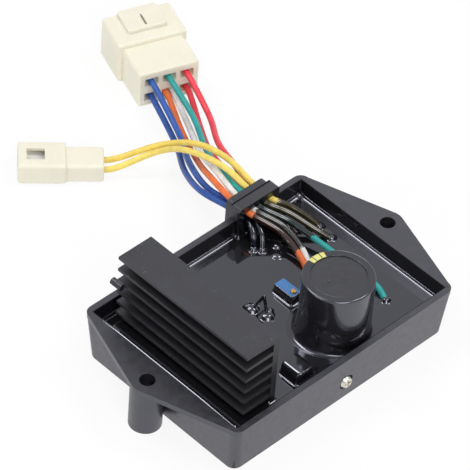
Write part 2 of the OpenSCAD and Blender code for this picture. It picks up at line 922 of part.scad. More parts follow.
// Direction of a route at one of its points; the first ring lies on the resin
function unit(v) = v / norm(v);
function heading(route, i) =
    i == 0 ? [0, 0, 1] :
    i == len(route) - 1 ? unit(route[i] - route[i - 1]) :
    unit(unit(route[i] - route[i - 1]) + unit(route[i + 1] - route[i]));

// Ring of points round a route at one of its points
function ring(route, i) =
    let (
        along = heading(route, i),
        side = unit(cross(along, [1, 0, 0])),
        over = cross(side, along)
    )
    [
        for (k = [0:wire_sides - 1])
            let (a = 360 * k / wire_sides)
                route[i] + wire_d / 2 * (cos(a) * side + sin(a) * over)
    ];

// Tube swept along the points of a route
module wire(route) {
    rings = len(route);
    points = [for (i = [0:rings - 1]) each ring(route, i)];
    sides = [
        for (i = [0:rings - 2], k = [0:wire_sides - 1])
            let (
                a = i * wire_sides + k,
                b = i * wire_sides + (k + 1) % wire_sides
            )
                [a, a + wire_sides, b + wire_sides, b]
    ];
    first = [for (k = [0:wire_sides - 1]) k];
    last = [for (k = [wire_sides - 1:-1:0]) (rings - 1) * wire_sides + k];
    polyhedron(points = points, faces = concat(sides, [first, last]));
}

module wire_blue_1() { color("#2f57a8") wire(route_blue_1); }
module wire_blue_2() { color("#3a63b8") wire(route_blue_2); }
module wire_orange() { color("#e8793c") wire(route_orange); }
module wire_white() { color("#ecebe6") wire(route_white); }
module wire_green() { color("#25a08c") wire(route_green); }
module wire_red_1() { color("#e03a48") wire(route_red_1); }
module wire_red_2() { color("#ee4f5e") wire(route_red_2); }
module wire_yellow_1() { color("#f3c74a") wire(route_yellow_1); }
module wire_yellow_2() { color("#f0bf3c") wire(route_yellow_2); }

potting_case();
potting_resin();
heat_sink();
capacitor_can();
capacitor_top_disc();
capacitor_sleeve();
trimmer_body();
trimmer_screw();
circuit_board();
control_chip();
block_capacitor();
jumper_lead();
power_transistors();
transistor_screws();
wall_screw();
wire_grommet();
loom_housing();
loom_terminals();
pair_housing();
pair_terminals();
wire_blue_1();
wire_blue_2();
wire_orange();
wire_white();
wire_green();
wire_red_1();
wire_red_2();
wire_yellow_1();
wire_yellow_2();
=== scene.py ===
"""Looks of the potted voltage regulator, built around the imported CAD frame."""

import math

import bmesh
import bpy
from mathutils import Matrix, Vector, noise


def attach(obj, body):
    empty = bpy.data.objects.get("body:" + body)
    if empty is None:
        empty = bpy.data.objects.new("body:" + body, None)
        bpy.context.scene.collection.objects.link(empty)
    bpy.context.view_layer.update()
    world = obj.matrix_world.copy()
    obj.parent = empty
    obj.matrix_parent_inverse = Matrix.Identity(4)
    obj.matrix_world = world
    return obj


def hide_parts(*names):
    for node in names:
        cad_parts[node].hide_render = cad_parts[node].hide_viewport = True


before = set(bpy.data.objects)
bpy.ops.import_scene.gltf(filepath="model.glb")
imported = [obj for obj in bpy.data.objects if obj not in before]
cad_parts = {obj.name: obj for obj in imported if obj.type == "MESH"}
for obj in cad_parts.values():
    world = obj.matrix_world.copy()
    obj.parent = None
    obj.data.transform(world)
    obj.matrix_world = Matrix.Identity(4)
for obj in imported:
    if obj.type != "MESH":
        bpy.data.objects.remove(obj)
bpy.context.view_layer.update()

MM = 0.001
ROOT = "regulator"
ADJUSTER = "adjuster"
scene = bpy.context.scene

# Camera fitted to the photo: azimuth, elevation and roll in degrees, place in metres, lens in millimetres
VIEW_ANGLES = (-46.994, 44.578, 4.42)
VIEW_EYE = (-0.8201, -0.7429, 1.1490)
VIEW_LENS = 300.74
VIEW_SENSOR = 36
VIEW_CLIP = (0.1, 50)

# Softboxes: direction from the object, then distance, width and height in metres, and radiance
SOFTBOX_AIM = (0.0, 0.02, 0.02)
SOFTBOXES = {
    "left_softbox": ((-0.23, 0.47, 0.85), 1.3, 0.42, 0.40, 8.0),
    "right_softbox": ((0.43, -0.22, 0.87), 1.3, 0.42, 0.40, 8.0),
    "front_softbox": ((-0.314, -0.641, 0.701), 1.3, 0.6, 0.8, 4.5),
    "top_softbox": ((0.0, 0.30, 0.95), 1.4, 0.3, 0.3, 6.0),
    "low_softbox": ((-0.92, 0.10, 0.32), 1.3, 0.6, 0.4, 4.0),
    "rear_softbox": ((0.80, 0.486, 0.36), 0.8, 0.2, 0.2, 4.0),
}

# Studio: soft light of the world, and the share of plain white in what straight and mirrored rays see
WHITE = (1, 1, 1, 1)
WORLD_COLOR = (0.97, 0.985, 1.0, 1)
WORLD_STRENGTH = 0.26
WORLD_SHARES = (1.0, 0.5)
FLOOR_COLOR = (0.93, 0.93, 0.93, 1)
FLOOR_SHARES = (0.88, 0.95)
FLOOR_HALF = 6.0


# Camera and light
def place_camera():
    az, el, roll = (math.radians(v) for v in VIEW_ANGLES)
    back = Vector((math.sin(az) * math.cos(el), -math.cos(az) * math.cos(el), math.sin(el)))
    side = Vector((math.cos(az), math.sin(az), 0))
    up = back.cross(side)
    right = side * math.cos(roll) + up * math.sin(roll)
    top = up * math.cos(roll) - side * math.sin(roll)
    eye = Vector(VIEW_EYE)
    data = bpy.data.cameras.new("photo_camera")
    data.sensor_width = VIEW_SENSOR
    data.lens = VIEW_LENS
    data.clip_start, data.clip_end = VIEW_CLIP
    cam = bpy.data.objects.new("photo_camera", data)
    scene.collection.objects.link(cam)
    cam.matrix_world = Matrix(
        (
            (right.x, top.x, back.x, eye.x),
            (right.y, top.y, back.y, eye.y),
            (right.z, top.z, back.z, eye.z),
            (0, 0, 0, 1),
        )
    )
    scene.camera = cam


def add_softbox(name, toward, distance, wide, tall, radiance):
    """Lamp of a given radiance, seen from the object in one direction."""
    data = bpy.data.lights.new(name, "AREA")
    data.shape = "RECTANGLE"
    data.size = wide
    data.size_y = tall
    data.energy = radiance * math.pi * wide * tall
    ob = bpy.data.objects.new(name, data)
    scene.collection.objects.link(ob)
    aim = Vector(SOFTBOX_AIM)
    ob.location = aim + Vector(toward).normalized() * distance
    ob.rotation_euler = (aim - ob.location).to_track_quat("-Z", "Y").to_euler()


def ray_share(tree, straight, mirrored):
    """Share of the white backdrop for rays seen straight or through a piece, and for mirrored ones."""
    path = tree.nodes.new("ShaderNodeLightPath")
    seen = tree.nodes.new("ShaderNodeMath")
    seen.operation = "MAXIMUM"
    tree.links.new(path.outputs["Is Camera Ray"], seen.inputs[0])
    tree.links.new(path.outputs["Is Transmission Ray"], seen.inputs[1])
    shares = []
    for source, share in ((seen.outputs[0], straight), (path.outputs["Is Glossy Ray"], mirrored)):
        part = tree.nodes.new("ShaderNodeMath")
        part.operation = "MULTIPLY"
        tree.links.new(source, part.inputs[0])
        part.inputs[1].default_value = share
        shares.append(part.outputs[0])
    most = tree.nodes.new("ShaderNodeMath")
    most.operation = "MAXIMUM"
    tree.links.new(shares[0], most.inputs[0])
    tree.links.new(shares[1], most.inputs[1])
    return most.outputs[0]


def blend(tree, output, lit, seen, shares):
    """Shader that lights the object, covered by plain white for the shares of the rays."""
    out = tree.nodes.new(output)
    mix = tree.nodes.new("ShaderNodeMixShader")
    tree.links.new(ray_share(tree, *shares), mix.inputs[0])
    tree.links.new(lit.outputs[0], mix.inputs[1])
    tree.links.new(seen.outputs[0], mix.inputs[2])
    tree.links.new(mix.outputs[0], out.inputs["Surface"])


def build_world():
    world = bpy.data.worlds.new("studio")
    scene.world = world
    world.use_nodes = True
    tree = world.node_tree
    tree.nodes.clear()
    lit = tree.nodes.new("ShaderNodeBackground")
    lit.inputs["Color"].default_value = WORLD_COLOR
    lit.inputs["Strength"].default_value = WORLD_STRENGTH
    seen = tree.nodes.new("ShaderNodeBackground")
    seen.inputs["Color"].default_value = WHITE
    seen.inputs["Strength"].default_value = 1.0
    blend(tree, "ShaderNodeOutputWorld", lit, seen, WORLD_SHARES)


def build_floor():
    mesh = bpy.data.meshes.new("floor")
    corners = [(x * FLOOR_HALF, y * FLOOR_HALF, 0) for x, y in ((-1, -1), (1, -1), (1, 1), (-1, 1))]
    mesh.from_pydata(corners, [], [(0, 1, 2, 3)])
    floor = bpy.data.objects.new("floor", mesh)
    scene.collection.objects.link(floor)
    mat = bpy.data.materials.new("floor_white")
    mat.use_nodes = True
    tree = mat.node_tree
    tree.nodes.clear()
    matt = tree.nodes.new("ShaderNodeBsdfDiffuse")
    matt.inputs["Color"].default_value = FLOOR_COLOR
    glow = tree.nodes.new("ShaderNodeEmission")
    glow.inputs["Color"].default_value = WHITE
    glow.inputs["Strength"].default_value = 1.0
    blend(tree, "ShaderNodeOutputMaterial", matt, glow, FLOOR_SHARES)
    mesh.materials.append(mat)


def build_stage():
    scene.view_settings.view_transform = "Standard"
    build_world()
    build_floor()
    for name, spec in SOFTBOXES.items():
        add_softbox(name, *spec)


# Materials
NOISE_ROUGH = 0.55
MIX_FACTOR, MIX_FIRST, MIX_SECOND, MIX_RESULT = 0, 6, 7, 2


class Nodes:
    """Short hand for building a material's node tree."""

    def __init__(self, name):
        self.mat = bpy.data.materials.new(name)
        self.mat.use_nodes = True
        self.tree = self.mat.node_tree
        self.tree.nodes.clear()
        out = self.add("ShaderNodeOutputMaterial")
        self.bsdf = self.add("ShaderNodeBsdfPrincipled")
        self.link(self.bsdf.outputs[0], out.inputs["Surface"])
        self.coords = self.add("ShaderNodeTexCoord").outputs["Object"]

    def add(self, kind, **values):
        node = self.tree.nodes.new(kind)
        for k, v in values.items():
            setattr(node, k, v)
        return node

    def link(self, a, b):
        self.tree.links.new(a, b)

    def stretched(self, scale):
        """Coordinates scaled by axis."""
        m = self.add("ShaderNodeMapping")
        m.inputs["Scale"].default_value = scale
        self.link(self.coords, m.inputs["Vector"])
        return m.outputs[0]

    def axis(self, letter):
        """One coordinate of the place in the frame."""
        place = self.add("ShaderNodeSeparateXYZ")
        self.link(self.coords, place.inputs[0])
        return place.outputs[letter]

    def up(self):
        """How far a face looks up, from -1 to 1."""
        side = self.add("ShaderNodeSeparateXYZ")
        self.link(self.add("ShaderNodeTexCoord").outputs["Normal"], side.inputs[0])
        return side.outputs["Z"]

    def noise(self, scale, detail, coords=None):
        n = self.add("ShaderNodeTexNoise")
        n.inputs["Scale"].default_value = scale
        n.inputs["Detail"].default_value = detail
        n.inputs["Roughness"].default_value = NOISE_ROUGH
        self.link(coords or self.coords, n.inputs["Vector"])
        return n.outputs["Fac"]

    def math(self, op, a, b=None):
        m = self.add("ShaderNodeMath", operation=op)
        for i, v in enumerate((a, b)):
            if v is None:
                continue
            if isinstance(v, (int, float)):
                m.inputs[i].default_value = v
            else:
                self.link(v, m.inputs[i])
        return m.outputs[0]

    def span(self, value, a, b, c=0.0, d=1.0, smooth=False):
        """Value mapped from the range a to b onto c to d."""
        m = self.add("ShaderNodeMapRange")
        if smooth:
            m.interpolation_type = "SMOOTHSTEP"
        for i, v in zip(("From Min", "From Max", "To Min", "To Max"), (a, b, c, d)):
            m.inputs[i].default_value = v
        self.link(value, m.inputs["Value"])
        return m.outputs["Result"]

    def mix(self, fac, a, b):
        m = self.add("ShaderNodeMix", data_type="RGBA")
        self.link(fac, m.inputs[MIX_FACTOR])
        for i, v in ((MIX_FIRST, a), (MIX_SECOND, b)):
            if isinstance(v, (tuple, list)):
                m.inputs[i].default_value = (*v[:3], 1)
            else:
                self.link(v, m.inputs[i])
        return m.outputs[MIX_RESULT]

    def bump(self, height, strength, distance, under=None):
        b = self.add("ShaderNodeBump")
        b.inputs["Strength"].default_value = strength
        b.inputs["Distance"].default_value = distance
        self.link(height, b.inputs["Height"])
        if under is not None:
            self.link(under, b.inputs["Normal"])
        return b.outputs["Normal"]

    def set(self, **values):
        """Values or links for the sockets of the main shader."""
        for k, v in values.items():
            socket = self.bsdf.inputs[k.replace("_", " ")]
            if isinstance(v, (int, float)):
                socket.default_value = v
            elif isinstance(v, (tuple, list)):
                socket.default_value = (*v, 1) if socket.type == "RGBA" else v
            else:
                self.link(v, socket)
        return self


# Faint blue in the gloss of the black parts
COOL = (0.87, 0.88, 1.0)
# Ranges of a noise, and the shares that they are spread over
PATCHY = (0.3, 0.7)
GRAINY = (0.25, 0.9, 0, 0.35)
# Heights of surface waves, moulded grain and brushed lines, in metres
WAVE_BUMP = 0.0004
GRAIN_BUMP = 0.00012
FINE_BUMP = 0.0001
LINE_BUMP = 0.00006
# Ragged edge of the resin film on a wire, and the length over which it ends
FILM_RAGGED = 0.0012
FILM_EDGE = 0.0007
# Places in the frame, in metres, where a surface turns from wet to dry
TRAY_WET_X = (0.0587, 0.0589)
TRAY_WET_Y = (0.0417, 0.0419)
GROMMET_WET_Y = (0.0404, 0.0408)
GROMMET_WET_Z = (0.0305, 0.0312)
GROMMET_RAGGED = 0.001
# Heights above which the transistors show their tab, and below which their legs
TAB_Z = (0.0291, 0.0293)
LEGS_Z = (0.0199, 0.0201)


def moulded(name, color, other, *, rough, grain, grain_scale, patch_scale, spread=0.07, **more):
    """Moulded plastic or rubber: fine grain, faint patches and a roughness that drifts."""
    n = Nodes(name)
    patch = n.noise(patch_scale, 4)
    fine = n.noise(grain_scale, 2)
    tone = n.mix(n.span(patch, *PATCHY), color, other)
    n.set(Base_Color=n.mix(n.span(fine, *GRAINY), tone, tuple(min(1, 1.4 * c) for c in other)))
    n.set(Roughness=n.span(n.noise(patch_scale * 5, 3), 0.25, 0.75, rough - spread, rough + spread))
    wave = n.bump(patch, 0.05, WAVE_BUMP)
    n.set(Normal=n.bump(fine, grain, GRAIN_BUMP, wave))
    return n.set(**more).mat


def brushed(name, color, other, *, rough, stretch, grain, dust=0.0, ior=None, **more):
    """Metal with fine lines along one direction, a share of dust, and an IOR for its sides and its top."""
    n = Nodes(name)
    lines = n.noise(1.0, 3, coords=n.stretched(stretch))
    patch = n.noise(90, 3)
    tone = n.mix(n.span(patch, *PATCHY), color, other)
    if dust:
        tone = n.mix(n.span(n.noise(1100, 1), 0.72, 0.8, 0, dust), tone, (0.5, 0.5, 0.5))
    n.set(Base_Color=tone)
    n.set(Roughness=n.span(lines, 0.2, 0.8, rough - 0.1, rough + 0.1))
    n.set(Normal=n.bump(lines, grain, LINE_BUMP))
    if ior:
        n.set(IOR=n.span(n.up(), 0.5, 0.9, *ior))
    return n.set(**more).mat


def insulated(name, color, low, high):
    """Wire insulation, filmed over with dark resin where low < y < high (metres)."""
    n = Nodes(name)
    ragged = n.math("ADD", n.axis("Y"), n.span(n.noise(700, 2), 0, 1, -FILM_RAGGED, FILM_RAGGED))
    after = n.span(ragged, low, low + FILM_EDGE, smooth=True)
    before = n.span(ragged, high - FILM_EDGE, high, 1, 0, smooth=True)
    film = n.math("MULTIPLY", after, before)
    light = tuple(min(1, c * 1.1 + 0.01) for c in color)
    deep = tuple(c * 0.88 for c in color)
    clean = n.mix(n.span(n.noise(260, 4), *PATCHY), deep, light)
    speck = n.span(n.noise(1700, 1), 0.72, 0.76)
    clean = n.mix(n.math("MULTIPLY", speck, 0.3), clean, tuple(c * 0.4 for c in color))
    dark = tuple(0.003 + c * 0.05 for c in color)
    filmed = n.mix(n.noise(400, 3), tuple(c * 0.3 for c in dark), dark)
    n.set(Base_Color=n.mix(film, clean, filmed))
    n.set(Roughness=n.span(film, 0, 1, 0.38, 0.04))
    n.set(IOR=n.span(film, 0, 1, 1.45, 1.75))
    n.set(Normal=n.bump(n.noise(900, 2), 0.03, FINE_BUMP))
    return n.mat


def tray_plastic(name):
    """Case plastic, satin outside and wet with resin inside the rim."""
    n = Nodes(name)
    patch, fine = n.noise(60, 4), n.noise(2200, 2)
    across = n.span(n.math("ABSOLUTE", n.axis("X")), *TRAY_WET_X, 1, 0)
    along = n.span(n.math("ABSOLUTE", n.axis("Y")), *TRAY_WET_Y, 1, 0)
    film = n.math("MULTIPLY", across, along)
    dry = n.mix(n.span(patch, *PATCHY), (0.009, 0.009, 0.011), (0.013, 0.013, 0.016))
    dry = n.mix(n.span(fine, *GRAINY), dry, (0.028, 0.028, 0.032))
    n.set(Base_Color=n.mix(film, dry, (0.010, 0.010, 0.012)))
    satin = n.span(n.noise(300, 3), 0.25, 0.75, 0.29, 0.42)
    n.set(Roughness=n.math("MULTIPLY", satin, n.span(film, 0, 1, 1.0, 0.3)))
    n.set(IOR=n.span(film, 0, 1, 1.94, 1.48))
    dry_share = n.span(film, 0, 1, 1.0, 0.08)
    wave = n.bump(n.math("MULTIPLY", patch, dry_share), 0.05, WAVE_BUMP)
    n.set(Normal=n.bump(n.math("MULTIPLY", fine, dry_share), 0.1, GRAIN_BUMP, wave))
    return n.set(Specular_Tint=COOL).mat


def filmed_rubber(name):
    """Grommet rubber, matt outside and wet with resin inside the tray."""
    n = Nodes(name)
    fine = n.noise(1700, 2)
    inside = n.span(n.axis("Y"), *GROMMET_WET_Y, 1, 0)
    ragged = n.math("ADD", n.axis("Z"), n.span(n.noise(300, 2), 0, 1, -GROMMET_RAGGED, GROMMET_RAGGED))
    film = n.math("MULTIPLY", inside, n.span(ragged, *GROMMET_WET_Z, 1, 0))
    dry = n.mix(n.span(n.noise(110, 4), *PATCHY), (0.013, 0.013, 0.015), (0.021, 0.021, 0.024))
    n.set(Base_Color=n.mix(film, dry, (0.009, 0.009, 0.011)))
    n.set(Roughness=n.span(film, 0, 1, 0.5, 0.08))
    n.set(Normal=n.bump(fine, 0.1, FINE_BUMP))
    return n.set(IOR=1.66, Specular_Tint=COOL).mat


def device_material(name):
    """Transistors: black moulding between bright tab and legs."""
    n = Nodes(name)
    metal = n.math("MAXIMUM", n.span(n.axis("Z"), *TAB_Z), n.span(n.axis("Z"), *LEGS_Z, 1, 0))
    fine = n.noise(2400, 2)
    black = n.mix(n.noise(200, 3), (0.014, 0.014, 0.015), (0.024, 0.024, 0.025))
    n.set(Base_Color=n.mix(metal, black, n.mix(fine, (0.55, 0.55, 0.56), (0.68, 0.68, 0.69))))
    n.set(Metallic=metal)
    n.set(Roughness=n.span(metal, 0, 1, 0.5, 0.3))
    n.set(Normal=n.bump(fine, 0.12, FINE_BUMP))
    return n.mat


def resin_material(name):
    """Potting resin, black and glossy with faint waves."""
    n = Nodes(name)
    n.set(Base_Color=n.mix(n.noise(45, 4), (0.008, 0.008, 0.0095), (0.013, 0.013, 0.015)))
    n.set(Roughness=n.span(n.noise(140, 4), 0.3, 0.75, 0.035, 0.075))
    n.set(Normal=n.bump(n.noise(70, 2), 0.03, 0.0005))
    return n.set(IOR=2.1, Specular_Tint=COOL).mat


def make_materials():
    return {
        "case": tray_plastic("case_plastic"),
        "resin": resin_material("potting_resin"),
        "rubber": filmed_rubber("grommet_rubber"),
        "device": device_material("transistor_package"),
        "sink": brushed(
            "sink_anodised", (0.014, 0.014, 0.016), (0.020, 0.020, 0.023),
            rough=0.42, stretch=(3500, 40, 3500), grain=0.15, dust=0.25, ior=(1.5, 1.7), Specular_Tint=COOL,
        ),
        "sleeve": moulded(
            "capacitor_sleeve", (0.015, 0.015, 0.018), (0.021, 0.021, 0.025),
            rough=0.15, grain=0.03, grain_scale=900, patch_scale=40, spread=0.04, IOR=1.9, Specular_Tint=COOL,
        ),
        "disc": moulded(
            "capacitor_disc", (0.012, 0.012, 0.014), (0.018, 0.018, 0.020),
            rough=0.36, grain=0.05, grain_scale=1400, patch_scale=80, spread=0.06, IOR=1.75, Specular_Tint=COOL,
        ),
        "coated": moulded(
            "coated_black", (0.008, 0.008, 0.0095), (0.012, 0.012, 0.014),
            rough=0.07, grain=0.02, grain_scale=500, patch_scale=120, spread=0.02, IOR=2.0, Specular_Tint=COOL,
        ),
        "nylon": moulded(
            "ivory_nylon", (0.835, 0.785, 0.63), (0.872, 0.824, 0.675),
            rough=0.42, grain=0.07, grain_scale=1500, patch_scale=55, spread=0.08,
            Subsurface_Weight=0.3, Subsurface_Radius=(1.0, 0.85, 0.55), Subsurface_Scale=0.0025,
        ),
        "mark": moulded(
            "polarity_ink", (0.66, 0.63, 0.19), (0.74, 0.71, 0.25),
            rough=0.45, grain=0.08, grain_scale=2400, patch_scale=300,
        ),
        "trimmer": moulded(
            "trimmer_plastic", (0.060, 0.185, 0.45), (0.078, 0.225, 0.52),
            rough=0.34, grain=0.08, grain_scale=2600, patch_scale=250,
        ),
        "board": moulded(
            "board_laminate", (0.02, 0.10, 0.04), (0.03, 0.14, 0.06),
            rough=0.35, grain=0.08, grain_scale=1800, patch_scale=120,
        ),
        "chip": moulded(
            "black_epoxy", (0.014, 0.014, 0.015), (0.022, 0.022, 0.023),
            rough=0.5, grain=0.15, grain_scale=2600, patch_scale=200,
        ),
        "can": brushed(
            "can_metal", (0.62, 0.62, 0.63), (0.7, 0.7, 0.71),
            rough=0.3, stretch=(2000, 2000, 40), grain=0.1, Metallic=1.0,
        ),
        "brass": brushed(
            "brass_turned", (0.66, 0.40, 0.12), (0.80, 0.53, 0.20),
            rough=0.26, stretch=(2500, 2500, 300), grain=0.1, Metallic=1.0,
        ),
        "zinc": brushed(
            "zinc_steel", (0.52, 0.52, 0.54), (0.62, 0.62, 0.63),
            rough=0.3, stretch=(1800, 1800, 1800), grain=0.08, Metallic=1.0,
        ),
        "nickel": brushed(
            "nickel_steel", (0.66, 0.63, 0.57), (0.80, 0.77, 0.71),
            rough=0.24, stretch=(1500, 1500, 1500), grain=0.1, Metallic=1.0,
        ),
        "terminal": brushed(
            "terminal_brass", (0.66, 0.54, 0.28), (0.74, 0.63, 0.36),
            rough=0.3, stretch=(300, 3000, 3000), grain=0.1, Metallic=1.0,
        ),
        "tin": brushed(
            "terminal_tin", (0.66, 0.65, 0.63), (0.84, 0.83, 0.80),
            rough=0.4, stretch=(300, 3000, 3000), grain=0.1, Metallic=0.15,
        ),
    }


# Mesh helpers
BEVEL_ANGLE = 28
LATHE_TURNS = 128
QUARTER = math.pi / 2
LEAST_R = 0.05
# Distances in metres under which points of a CAD mesh are one, and the angle in degrees between level faces
SAME_POINT = 2e-6
NO_LENGTH = 1e-6
LEVEL_ANGLE = 0.6


def add_piece(name, mesh, mat, body=ROOT):
    """Object with smooth faces and one material, riding on a body."""
    mesh.polygons.foreach_set("use_smooth", [True] * len(mesh.polygons))
    mesh.materials.append(mat)
    ob = bpy.data.objects.new(name, mesh)
    scene.collection.objects.link(ob)
    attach(ob, body)
    return ob


def link_mesh(name, verts, faces, mat):
    """New piece from points in millimetres."""
    mesh = bpy.data.meshes.new(name)
    mesh.from_pydata([(x * MM, y * MM, z * MM) for x, y, z in verts], [], faces)
    bm = bmesh.new()
    bm.from_mesh(mesh)
    bmesh.ops.recalc_face_normals(bm, faces=bm.faces)
    bm.to_mesh(mesh)
    bm.free()
    return add_piece(name, mesh, mat)


def add_bevel(ob, width, segments):
    mod = ob.modifiers.new("edges", "BEVEL")
    mod.width = width * MM
    mod.segments = segments
    mod.limit_method = "ANGLE"
    mod.angle_limit = math.radians(BEVEL_ANGLE)
    mod.harden_normals = True
    mod.miter_outer = "MITER_ARC"


def from_cad(node, name, mat, bevel, segments, body=ROOT):
    """Copy of a CAD node's form with its edges rounded, standing for that node."""
    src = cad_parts[node].data
    bm = bmesh.new()
    made = [bm.verts.new(v.co) for v in src.vertices]
    for p in src.polygons:
        try:
            bm.faces.new([made[i] for i in p.vertices])
        except ValueError:
            # A face on these points is there already
            pass
    bmesh.ops.remove_doubles(bm, verts=bm.verts, dist=SAME_POINT)
    bmesh.ops.dissolve_degenerate(bm, edges=bm.edges, dist=NO_LENGTH)
    bmesh.ops.dissolve_limit(bm, angle_limit=math.radians(LEVEL_ANGLE), verts=bm.verts, edges=bm.edges)
    bmesh.ops.recalc_face_normals(bm, faces=bm.faces)
    mesh = bpy.data.meshes.new(name)
    bm.to_mesh(mesh)
    bm.free()
    ob = add_piece(name, mesh, mat, body)
    if bevel:
        add_bevel(ob, bevel, segments)
    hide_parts(node)
    return ob


def lathe(name, profile, centre, mat):
    """Ring turned about a vertical axis from a closed loop of (radius, height) points."""
    verts, faces = [], []
    count, turns = len(profile), LATHE_TURNS
    for r, z in profile:
        for k in range(turns):
            a = 2 * math.pi * k / turns
            verts.append((centre[0] + r * math.cos(a), centre[1] + r * math.sin(a), z))
    for i in range(count):
        for k in range(turns):
            a, b = i * turns + k, i * turns + (k + 1) % turns
            shift = ((i + 1) % count - i) * turns
            faces.append((a, b, b + shift, a + shift))
    return link_mesh(name, verts, faces, mat)


def outline(half_x, half_y, r, corner=8):
    """Points round a rectangle with rounded corners."""
    r = min(r, half_x, half_y)
    out = []
    for k, (sx, sy) in enumerate(((1, 1), (-1, 1), (-1, -1), (1, -1))):
        for i in range(corner + 1):
            a = QUARTER * (k + i / corner)
            out.append((sx * (half_x - r) + r * math.cos(a), sy * (half_y - r) + r * math.sin(a)))
    return out


def loft(name, centre, half, levels, mat, r=0.4):
    """Closed form round a rectangle: (grow in x, grow in y, height) levels from the foot to the top."""
    verts, faces = [], []
    rings = [outline(half[0] + gx, half[1] + gy, max(r + gy, LEAST_R)) for gx, gy, _ in levels]
    n = len(rings[0])
    for ring, (_, _, z) in zip(rings, levels):
        verts += [(centre[0] + x, centre[1] + y, z) for x, y in ring]
    for i in range(len(rings) - 1):
        for k in range(n):
            a, b = i * n + k, i * n + (k + 1) % n
            faces.append((a, b, b + n, a + n))
    faces.append(tuple(range(n - 1, -1, -1)))
    faces.append(tuple(range(len(verts) - n, len(verts))))
    return link_mesh(name, verts, faces, mat)


# Plug housings in millimetres, each laid along its own +Y from its wire end
PLUG_R = 1.4
PLUG_SOFT = 1.0
PLUG_SHARP = 35
PLUG_CORNER = 6
LATCH_R = 0.8
LATCH_SOFT = 0.5
# Place of the first mark in a section, after the points of its first corner
MARK_AT = PLUG_CORNER + 1
# Half the distance of the two marks where there is no window
PLAIN_MARK = 2.0
SIDES = ((-1, -1), (1, -1), (1, 1), (-1, 1))
# Shell and rear are width, height and length; cell is width, height and depth
# Latch is width, length and height; slit is width and length; window is width, start and end
LOOM = {
    "place": (68, 131), "turn": -20, "shell": (32, 20.5, 20), "rear": (28, 18.5, 18), "wall": 1.5, "deep": 18,
    "cell": (6.2, 4, 4), "columns": (-8.2, 0, 8.2), "rows": (5.15, 13.35),
    "latch": (17.92, 14, 1.8), "slit": (1, 7), "slit_gap": 2,
}
PAIR = {
    "place": (16.5, 116), "turn": 49, "shell": (15.6, 10.6, 20.4), "rear": (13, 9.3, 16), "wall": 1.4,
    "deep": 18.4, "cell": (4.6, 4, 4), "columns": (-2.9, 2.9), "rows": (4.65,), "window": (6.6, 25, 32.6),
}


def plug_ring(wide, high, y, mark, inset=0.0, lift=0.0):
    """Section of a plug, with two marks on its top side."""
    pts = outline(wide / 2 - inset, high / 2 - inset, PLUG_R - inset, PLUG_CORNER)
    marks = [(mark, high / 2 - inset), (-mark, high / 2 - inset)]
    pts = pts[:MARK_AT] + marks + pts[MARK_AT:]
    return [(x, y, lift + high / 2 + z) for x, z in pts]


def holed_face(bm, loop, holes):
    """Flat face inside a loop of points, with pockets through it: (corner points, depth)."""
    edges = []
    for points, depth in [(loop, None), *holes]:
        if depth is not None:
            points = [bm.verts.new(p) for p in points]
            floor = [bm.verts.new(v.co + Vector(depth)) for v in points]
            bm.faces.new(floor)
        for k in range(len(points)):
            a, b = points[k - 1], points[k]
            edges.append(bm.edges.get((a, b)) or bm.edges.new((a, b)))
            if depth is not None:
                bm.faces.new((a, b, floor[k], floor[k - 1]))
    bmesh.ops.triangle_fill(bm, use_beauty=True, use_dissolve=False, edges=edges)


def skin(bm, rings, gap=()):
    """Walls between rings of vertices, leaving out the (level, place) quads of the gap."""
    for i in range(len(rings) - 1):
        for k in range(len(rings[0])):
            if (i, k) not in gap:
                n = (k + 1) % len(rings[0])
                bm.faces.new((rings[i][k], rings[i][n], rings[i + 1][n], rings[i + 1][k]))


def add_window(bm, near, far):
    """Four sides of the opening between the outer and the inner wall."""
    k, m = MARK_AT, MARK_AT + 1
    for (a, b), (c, d), i, j in ((near, near, k, m), (far, far, k, m), (near, far, k, k), (near, far, m, m)):
        bm.faces.new((a[i], c[j], d[j], b[i]))


def add_cells(bm, plug, ring):
    """Face of the wire end with its cells."""
    wide, high, depth = plug["cell"]
    cells = []
    for x in plug["columns"]:
        for z in plug["rows"]:
            box = [(x + sx * wide / 2, 0, z + sz * high / 2) for sx, sz in SIDES]
            cells.append((box, (0, depth, 0)))
    holed_face(bm, ring, cells)


def add_latch(bm, plug, base, end):
    """Raised latch at the mating end, with a slit in its top."""
    wide, long, high = plug["latch"]
    levels = [(0, base - 1)]
    for i in range(5):
        a = QUARTER * i / 4
        levels.append((LATCH_SOFT * (math.cos(a) - 1), base + high + LATCH_SOFT * (math.sin(a) - 1)))
    rings = []
    for grow, z in levels:
        ring = outline(wide / 2 + grow, long / 2 + grow, LATCH_R + grow)
        rings.append([bm.verts.new((x, end - long / 2 + y, z)) for x, y in ring])
    skin(bm, rings)
    bm.faces.new(rings[0])
    slit_w, slit_l = plug["slit"]
    start = end - long + plug["slit_gap"]
    slit = [(sx * slit_w / 2, start + (slit_l if sy > 0 else 0), base + high) for sx, sy in SIDES]
    holed_face(bm, rings[-1], [(slit, (0, 0, -high))])


